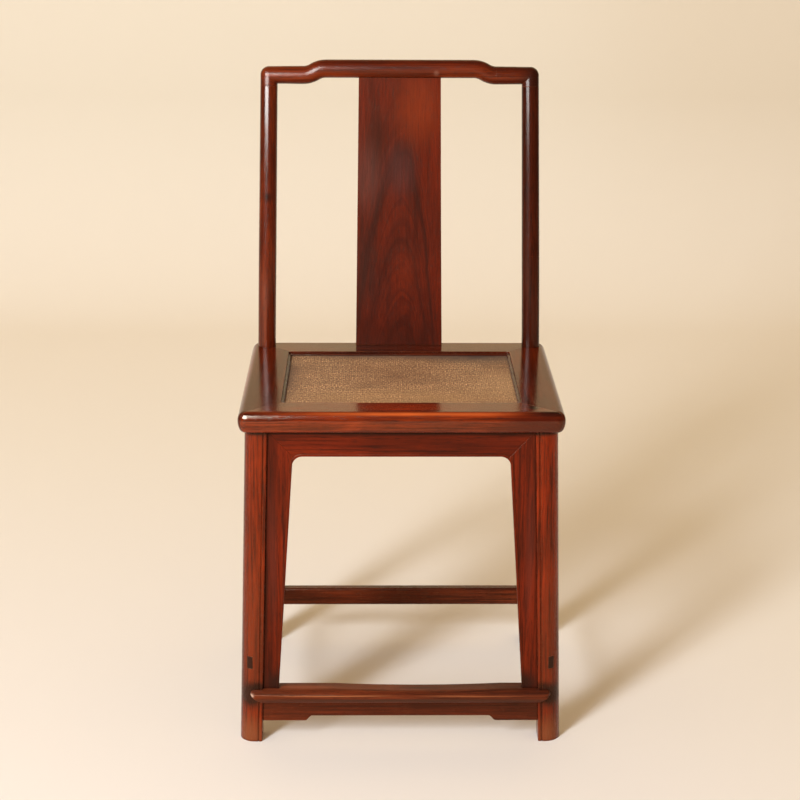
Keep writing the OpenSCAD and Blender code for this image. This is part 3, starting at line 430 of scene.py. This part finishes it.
materials = {
    "crest_rail": wood("crest_wood", "X", LEFT_ROD_TONES, gloss=0.22, offset=0.4, ior=1.31,
                       tint=ROD_TINT, dirt_and_shade=0.3, relief=0.05, lining=0.6, spots=CREST_SPOTS),
    "left_post": wood("left_post_wood", "Z", LEFT_ROD_TONES, gloss=0.14, offset=1.9, ior=1.40,
                      tint=ROD_TINT, dirt_and_shade=0.3, relief=0.05, lining=0.5, spots=POST_SPOTS),
    "right_post": wood("right_post_wood", "Z", RIGHT_ROD_TONES, gloss=0.16, offset=2.6, ior=1.28,
                       tint=ROD_TINT, dirt_and_shade=0.3, relief=0.05, lining=0.6, spots=POST_SPOTS),
    "left_leg": wood("left_leg_wood", "Z", LEFT_LEG_TONES, gloss=0.24, offset=3.1, spots=LEG_STAINS_AND_PAINTED_LIGHT),
    "right_leg": wood("right_leg_wood", "Z", RIGHT_LEG_TONES, gloss=0.24, offset=3.9, spots=LEG_STAINS_AND_PAINTED_LIGHT),
    "seat_front": wood("seat_front_wood", "X", SEAT_TONES, gloss=0.11, offset=4.4, streak=60.0, length=0.14,
                       ior=1.5, tint=SEAT_TINT, relief=0.06, spots=FRONT_STAINS_AND_HIGHLIGHTS, seams=(FRONT_MITRE,)),
    "seat_back": wood("seat_back_wood", "X", SIDE_TONES, gloss=0.11, offset=5.3, ior=1.42,
                      tint=SEAT_TINT, relief=0.05, seams=(BACK_MITRE,)),
    "seat_sides": wood("seat_side_wood", "Y", SIDE_TONES, gloss=0.11, offset=6.7, ior=1.27,
                       tint=SIDE_TINT, relief=0.05, spots=SIDE_STAINS_AND_HIGHLIGHT, seams=(FRONT_MITRE, BACK_MITRE)),
    "strips_x": wood("strip_wood_across", "X", DARK_TONES, offset=7.3),
    "strips_y": wood("strip_wood_along", "Y", STRIP_TONES, gloss=0.25, offset=8.1, dirt_and_shade=0.6),
    "arch_head": wood("arch_head_wood", "X", DEEP_TONES, gloss=0.30, wear=0.12, offset=9.2, ior=1.29,
                      spots=(SHADOW_UNDER_SEAT,)),
    "arch_sides": wood("arch_side_wood", "Z", DEEP_TONES, gloss=0.30, wear=0.12, offset=10.4, ior=1.29,
                       spots=ARCH_MARKS_AND_SHADE),
    "foot_rail": wood("foot_rail_wood", "X", FOOT_TONES, gloss=0.34, offset=11.8, ior=1.26,
                      spots=FOOT_MARKS_HIGHLIGHTS_AND_SHADE),
    "low_x": wood("low_wood_across", "X", LOW_TONES, gloss=0.25, offset=12.1),
    "low_y": wood("low_wood_along", "Y", DARK_TONES, gloss=0.30, offset=12.6, spots=TENON_SPOTS),
    "aprons_y": wood("apron_wood_along", "Y", DARK_TONES, gloss=0.28, offset=13.1),
    "plain_x": wood("plain_wood_across", "X", PLAIN_TONES, gloss=0.6, wear=0.1, offset=14.5),
    "plain_y": wood("plain_wood_along", "Y", PLAIN_TONES, gloss=0.6, wear=0.1, offset=15.2),
    "splat": splat_wood(),
}

# The wood that each piece wears
WEARS = {
    "crest_rail": "crest_rail",
    "back_splat": "splat",
    "back_post_left": "left_post",
    "back_post_right": "right_post",
    "front_leg_left": "left_leg",
    "front_leg_right": "right_leg",
    "seat_front_rail": "seat_front",
    "seat_back_rail": "seat_back",
    "seat_side_rail_left": "seat_sides",
    "seat_side_rail_right": "seat_sides",
    "mat_strip_front": "strips_x",
    "mat_strip_back": "strips_x",
    "mat_strip_left": "strips_y",
    "mat_strip_right": "strips_y",
    "front_apron": "arch_head",
    "front_apron_left": "arch_sides",
    "front_apron_right": "arch_sides",
    "foot_rail": "foot_rail",
    "foot_apron": "low_x",
    "back_stretcher": "low_x",
    "side_stretcher_left": "low_y",
    "side_stretcher_right": "low_y",
    "side_apron_left": "aprons_y",
    "side_apron_right": "aprons_y",
    "back_apron": "low_x",
    "seat_board": "plain_x",
    "seat_brace_left": "plain_y",
    "seat_brace_right": "plain_y",
}

for node, wears in WEARS.items():
    mesh = nodes[node].data
    mesh.materials.clear()
    mesh.materials.append(materials[wears])

# Pieces with sharp corners get them eased
EASED = (
    "back_splat", "seat_board", "seat_brace_left", "seat_brace_right", "back_stretcher", "foot_apron",
    "side_stretcher_left", "side_stretcher_right", "side_apron_left", "side_apron_right", "back_apron",
)
EASE = 0.0008
EASE_ANGLE = 50.0

for node in EASED:
    ease = nodes[node].modifiers.new("eased_edges", "BEVEL")
    ease.width = EASE
    ease.segments = 2
    ease.limit_method = "ANGLE"
    ease.angle_limit = math.radians(EASE_ANGLE)


# Seat mat

STRAND = 0.0030
STRAND_RISE = 0.00045
# Shares of the rise that come from passing over and from the strand's own roundness
OVER_SHARE = 0.6
CROWN_SHARE = 0.5
CELLS_PER_STRAND = 3
# How far the weave's middle lies under the top of the plate that it stands for
MAT_SINK = 1.5 * STRAND_RISE
MAT_CORNER = 0.005
CORNER_SLACK = 1.001


def mat_material():
    """Straw with dark gaps between its strands, paler where sat on and with stains along the back."""
    material, tree, shader = new_material("plaited_mat")
    where = add(tree, "ShaderNodeTexCoord").outputs["Object"]
    low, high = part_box("woven_mat")
    rows = noise(tree, stretched(tree, where, "X", 0.06), scale=230.0, detail=2.0, roughness=0.6)
    columns = noise(tree, stretched(tree, where, "Y", 0.25), scale=330.0, detail=2.0)
    pressed = stretched(tree, stretched(tree, where, "Y", 0.55), "X", 0.75)
    specks = noise(tree, pressed, scale=500.0, detail=2.0, roughness=0.6)
    place = add(tree, "ShaderNodeSeparateXYZ", {0: where})
    angles = [maths(tree, "MULTIPLY", place.outputs[axis], math.pi / STRAND) for axis in "XY"]
    gaps = [maths(tree, "ABSOLUTE", maths(tree, "SINE", angle)) for angle in angles]
    gap = ramp(tree, maths(tree, "MULTIPLY", *gaps), (0.10, 0.62), (0.70, 1.15))
    cloud = noise(tree, where, scale=16.0, detail=4.0, roughness=0.6)
    straws = ((0.34, srgb(104, 64, 36)), (0.50, srgb(166, 116, 73)), (0.66, srgb(228, 180, 124)))
    straw = ramp(tree, specks, *straws)
    straw = mix(tree, 0.8, straw, gap, "MULTIPLY")
    straw = mix(tree, 0.6, straw, ramp(tree, rows, (0.36, 0.65), (0.64, 1.3)), "MULTIPLY")
    straw = mix(tree, 0.4, straw, ramp(tree, columns, (0.35, 0.75), (0.65, 1.2)), "MULTIPLY")
    straw = mix(tree, ramp(tree, cloud, (0.48, 0.0), (0.75, 0.6)), straw, srgb(116, 74, 40))
    middle_y = (low[1] + high[1]) / 2
    spots = (
        ((0.0, high[1], high[2]), (0.30, 0.040, 0.1), 0.75, srgb(112, 80, 58)),
        ((high[0] - 0.05, high[1], high[2]), (0.14, 0.080, 0.1), 0.9, srgb(88, 62, 46)),
        ((high[0], middle_y - 0.03, high[2]), (0.12, 0.12, 0.1), 0.3, srgb(206, 158, 104)),
        ((low[0], middle_y + 0.02, high[2]), (0.035, 0.20, 0.1), 0.6, srgb(104, 70, 46)),
        ((-0.02, middle_y + 0.03, high[2]), (0.15, 0.08, 0.1), 0.25, srgb(120, 76, 42)),
        ((0.0, low[1] + 0.04, high[2]), (0.26, 0.09, 0.1), 0.35, srgb(186, 138, 82)),
    )
    straw = lay_stains_and_painted_light(tree, where, straw, spots, cloud)
    # Occlusion darkens the mat by the frame and in its creases: partly dirt, partly painted shade
    hidden = add(tree, "ShaderNodeAmbientOcclusion", {"Distance": GRIME_AND_SHADE_REACH}, samples=RAY_SAMPLES)
    grime_and_shade = ramp(tree, hidden.outputs["AO"], (0.35, 0.85), (0.9, 0.0))
    straw = mix(tree, grime_and_shade, straw, srgb(58, 34, 20))
    rough = maths(tree, "MULTIPLY_ADD", specks, 0.3, 0.5)
    bump = add(tree, "ShaderNodeBump", {"Strength": 0.5, "Distance": 0.0003, "Height": specks})
    for name, value in (("Base Color", straw), ("Roughness", rough), ("Normal", bump.outputs[0])):
        tree.links.new(value, shader.inputs[name])
    shader.inputs["Specular IOR Level"].default_value = 0.25
    return material


def woven_mat():
    """The plaited mat: strands that pass over and under each other, stretched flat inside the frame."""
    low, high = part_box("woven_mat")
    across = round((high[0] - low[0]) / STRAND) * CELLS_PER_STRAND
    along = round((high[1] - low[1]) / STRAND) * CELLS_PER_STRAND
    middle_z = high[2] - MAT_SINK
    step_x, step_y = (high[0] - low[0]) / across, (high[1] - low[1]) / along

    def rise(x, y):
        """How far the upper strand stands up at a place in the weave."""
        column, row = x / STRAND, y / STRAND
        over = math.cos(math.pi * column) * math.cos(math.pi * row)
        crown_x = abs(math.sin(math.pi * row))
        crown_y = abs(math.sin(math.pi * column))
        strand_x = over * OVER_SHARE + crown_x * CROWN_SHARE
        strand_y = -over * OVER_SHARE + crown_y * CROWN_SHARE
        return STRAND_RISE * max(strand_x, strand_y)

    def outside(x, y):
        """Whether a place lies past the rounded corners."""
        dx = max(low[0] + MAT_CORNER - x, x - high[0] + MAT_CORNER, 0.0)
        dy = max(low[1] + MAT_CORNER - y, y - high[1] + MAT_CORNER, 0.0)
        return math.hypot(dx, dy) > MAT_CORNER * CORNER_SLACK

    places, faces = [], []
    for j in range(along + 1):
        for i in range(across + 1):
            x, y = low[0] + i * step_x, low[1] + j * step_y
            places.append((x, y, middle_z + rise(x - low[0], y - low[1])))
    for j in range(along):
        for i in range(across):
            x, y = low[0] + (i + 0.5) * step_x, low[1] + (j + 0.5) * step_y
            if not outside(x, y):
                k = j * (across + 1) + i
                faces.append((k, k + 1, k + across + 2, k + across + 1))
    mesh = bpy.data.meshes.new("plaited_mat")
    mesh.from_pydata(places, [], faces)
    mesh.shade_smooth()
    mat = bpy.data.objects.new("plaited_mat", mesh)
    bpy.context.collection.objects.link(mat)
    mat.data.materials.append(mat_material())
    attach(mat, "root")
    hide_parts("woven_mat")


woven_mat()


# Studio

# The sheet's colours, and where they change: up the wall, into the depth and to the right. The changes are
# painted shade: the wall darker than the floor, darker again to the right, and darker and yellower at its top
FLOOR_NEAR = srgb(245, 233, 220)
FLOOR_FAR = srgb(246, 235, 219)
FLOOR_RIGHT = srgb(245, 234, 218)
WALL = srgb(228, 216, 196)
WALL_RIGHT = srgb(224, 210, 188)
WALL_TO = 0.5
FLOOR_FAR_FROM = -0.4
FLOOR_FAR_TO = 1.2
RIGHT_FROM = 0.25
RIGHT_TO = 1.1
WALL_TOP = srgb(226, 206, 164)
WALL_TOP_FROM = 0.9
WALL_TOP_TO = 1.3
# The sheet's measures
COVE_Y = 2.2
COVE_R = 1.2
COVE_STEPS = 24
STAGE_W = 12.0
STAGE_FRONT = -7.0
STAGE_H = 6.0


def studio():
    """A floor that sweeps up into a wall, in one smooth sheet."""
    profile = [(STAGE_FRONT, 0.0), (0.0, 0.0), (COVE_Y, 0.0)]
    for i in range(1, COVE_STEPS + 1):
        angle = math.radians(90 * i / COVE_STEPS)
        profile.append((COVE_Y + COVE_R * math.sin(angle), COVE_R * (1 - math.cos(angle))))
    profile.append((COVE_Y + COVE_R, STAGE_H))
    places, faces = [], []
    for y, z in profile:
        places += [(-STAGE_W / 2, y, z), (STAGE_W / 2, y, z)]
    for i in range(len(profile) - 1):
        faces.append((2 * i, 2 * i + 1, 2 * i + 3, 2 * i + 2))
    mesh = bpy.data.meshes.new("studio_sheet")
    mesh.from_pydata(places, [], faces)
    mesh.shade_smooth()
    sheet = bpy.data.objects.new("studio_sheet", mesh)
    bpy.context.collection.objects.link(sheet)

    material, tree, shader = new_material("studio_sheet")
    where = add(tree, "ShaderNodeTexCoord").outputs["Object"]
    place = add(tree, "ShaderNodeSeparateXYZ", {0: where})
    depth = add(tree, "ShaderNodeMapRange", {
        "Value": place.outputs["Y"], "From Min": FLOOR_FAR_FROM, "From Max": FLOOR_FAR_TO
    })
    height = add(tree, "ShaderNodeMapRange", {
        "Value": place.outputs["Z"], "From Min": WALL_TOP_FROM, "From Max": WALL_TOP_TO
    })
    side = add(tree, "ShaderNodeMapRange", {
        "Value": place.outputs["X"], "From Min": RIGHT_FROM, "From Max": RIGHT_TO
    }, interpolation_type="SMOOTHERSTEP")
    # Painted shade on the sheet: darker up the wall, to the right and at the wall's top
    colour = mix(tree, depth.outputs[0], FLOOR_NEAR, FLOOR_FAR)
    rising = add(tree, "ShaderNodeMapRange", {"Value": place.outputs["Z"], "From Max": WALL_TO})
    colour = mix(tree, side.outputs[0], colour, FLOOR_RIGHT)
    wall = mix(tree, side.outputs[0], WALL, WALL_RIGHT)
    colour = mix(tree, rising.outputs[0], colour, wall)
    colour = mix(tree, height.outputs[0], colour, WALL_TOP)
    tree.links.new(colour, shader.inputs["Base Color"])
    shader.inputs["Roughness"].default_value = 0.9
    shader.inputs["Specular IOR Level"].default_value = 0.0
    mesh.materials.append(material)


def lamp(name, place, aim, size, power, colour, on_matt=True, on_gloss=True):
    """An area lamp. on_matt and on_gloss say which kinds of reflection show it."""
    light = bpy.data.lights.new(name, "AREA")
    light.shape = "RECTANGLE"
    light.size, light.size_y = size
    light.energy = power
    light.color = colour
    made = bpy.data.objects.new(name, light)
    made.location = place
    made.rotation_euler = (Vector(aim) - Vector(place)).to_track_quat("-Z", "Y").to_euler()
    made.visible_camera = False
    made.visible_diffuse = on_matt
    made.visible_glossy = on_gloss
    bpy.context.collection.objects.link(made)


KEY_AIM = (0.0, 0.0, 0.45)
KEY_ANGLE = 33.0
KEY_RISE = 24.0
KEY_AWAY = 6.0
KEY_SIZE = (1.5, 3.6)
KEY_POWER = 280.0
CORE_SIZE = (0.7, 3.0)
CORE_POWER = 225.0
CORE_AHEAD = 0.05
KEY_COLOUR = (0.78, 0.87, 1.0)
GLEAM_PLACE = (-0.77, -0.92, 1.36)
GLEAM_AIM = (-0.20, 0.19, 1.36)
GLEAM_SIZE = (1.0, 0.9)
GLEAM_POWER = 170.0
GLEAM_COLOUR = (0.52, 0.74, 0.95)
BACK_LAMP = (0.0, 1.2, 2.6)
BACK_AIM = (0.0, 3.4, 1.4)
BACK_SIZE = (3.5, 0.6)
BACK_POWER = 5.0
BACK_COLOUR = (0.85, 0.92, 1.0)
FILL_LOW = (0.70, 0.55, 0.37, 1.0)
FILL_HIGH = (0.43, 0.335, 0.22, 1.0)
MIRRORED = (0.10, 0.08, 0.06, 1.0)


def lights():
    """A tall lamp with a bright core at the front left, one for the backdrop, and warm light all round.

    The gloss of the woods mirrors a dark room in place of the warm light, and one near lamp in place of the
    tall one, so that the posts gleam at the top and the seat at its corner.
    """
    turn, rise = math.radians(KEY_ANGLE), math.radians(KEY_RISE)
    towards = Vector((-math.sin(turn) * math.cos(rise), -math.cos(turn) * math.cos(rise), math.sin(rise)))
    place = Vector(KEY_AIM) + KEY_AWAY * towards
    lamp("gleam_lamp", GLEAM_PLACE, GLEAM_AIM, GLEAM_SIZE, GLEAM_POWER, GLEAM_COLOUR, on_matt=False)
    lamp("key_lamp", place, KEY_AIM, KEY_SIZE, KEY_POWER, KEY_COLOUR, on_gloss=False)
    lamp("key_core", place - CORE_AHEAD * towards, KEY_AIM, CORE_SIZE, CORE_POWER, KEY_COLOUR, on_gloss=False)
    lamp("back_lamp", BACK_LAMP, BACK_AIM, BACK_SIZE, BACK_POWER, BACK_COLOUR)
    world = bpy.data.worlds.new("studio_light")
    world.use_nodes = True
    tree = world.node_tree
    facing = add(tree, "ShaderNodeSeparateXYZ", {0: add(tree, "ShaderNodeTexCoord").outputs["Generated"]})
    height = maths(tree, "MAXIMUM", facing.outputs["Z"], 0.0)
    sky = mix(tree, height, FILL_LOW, FILL_HIGH)
    mirrored = add(tree, "ShaderNodeLightPath").outputs["Is Glossy Ray"]
    tree.links.new(mix(tree, mirrored, sky, MIRRORED), tree.nodes["Background"].inputs["Color"])
    bpy.context.scene.world = world


studio()
lights()


# Camera: in front, a little to the left of the chair and looking down on it

CAMERA_PLACE = (-0.0407, -2.8967, 1.3548)
CAMERA_PITCH = 16.831
CAMERA_YAW = -0.804
CAMERA_ROLL = 0.275
CAMERA_LENS = 88.22
SENSOR_WIDTH = 36.0


def camera():
    """The camera, turned to the side, tilted down and rolled a little."""
    pitch, yaw, roll = (math.radians(angle) for angle in (CAMERA_PITCH, CAMERA_YAW, CAMERA_ROLL))
    turn = Matrix.Rotation(yaw, 3, "Z")
    ahead = turn @ Vector((0.0, math.cos(pitch), -math.sin(pitch)))
    up = turn @ Vector((0.0, math.sin(pitch), math.cos(pitch)))
    right = turn @ Vector((1.0, 0.0, 0.0))
    across = math.cos(roll) * right + math.sin(roll) * up
    upward = -math.sin(roll) * right + math.cos(roll) * up
    data = bpy.data.cameras.new("studio_camera")
    data.lens = CAMERA_LENS
    data.sensor_width = SENSOR_WIDTH
    data.sensor_fit = "HORIZONTAL"
    made = bpy.data.objects.new("studio_camera", data)
    turned = Matrix((across, upward, -ahead)).transposed()
    made.matrix_world = Matrix.Translation(CAMERA_PLACE) @ turned.to_4x4()
    bpy.context.collection.objects.link(made)
    bpy.context.scene.camera = made


camera()
bpy.context.scene.view_settings.view_transform = "Standard"
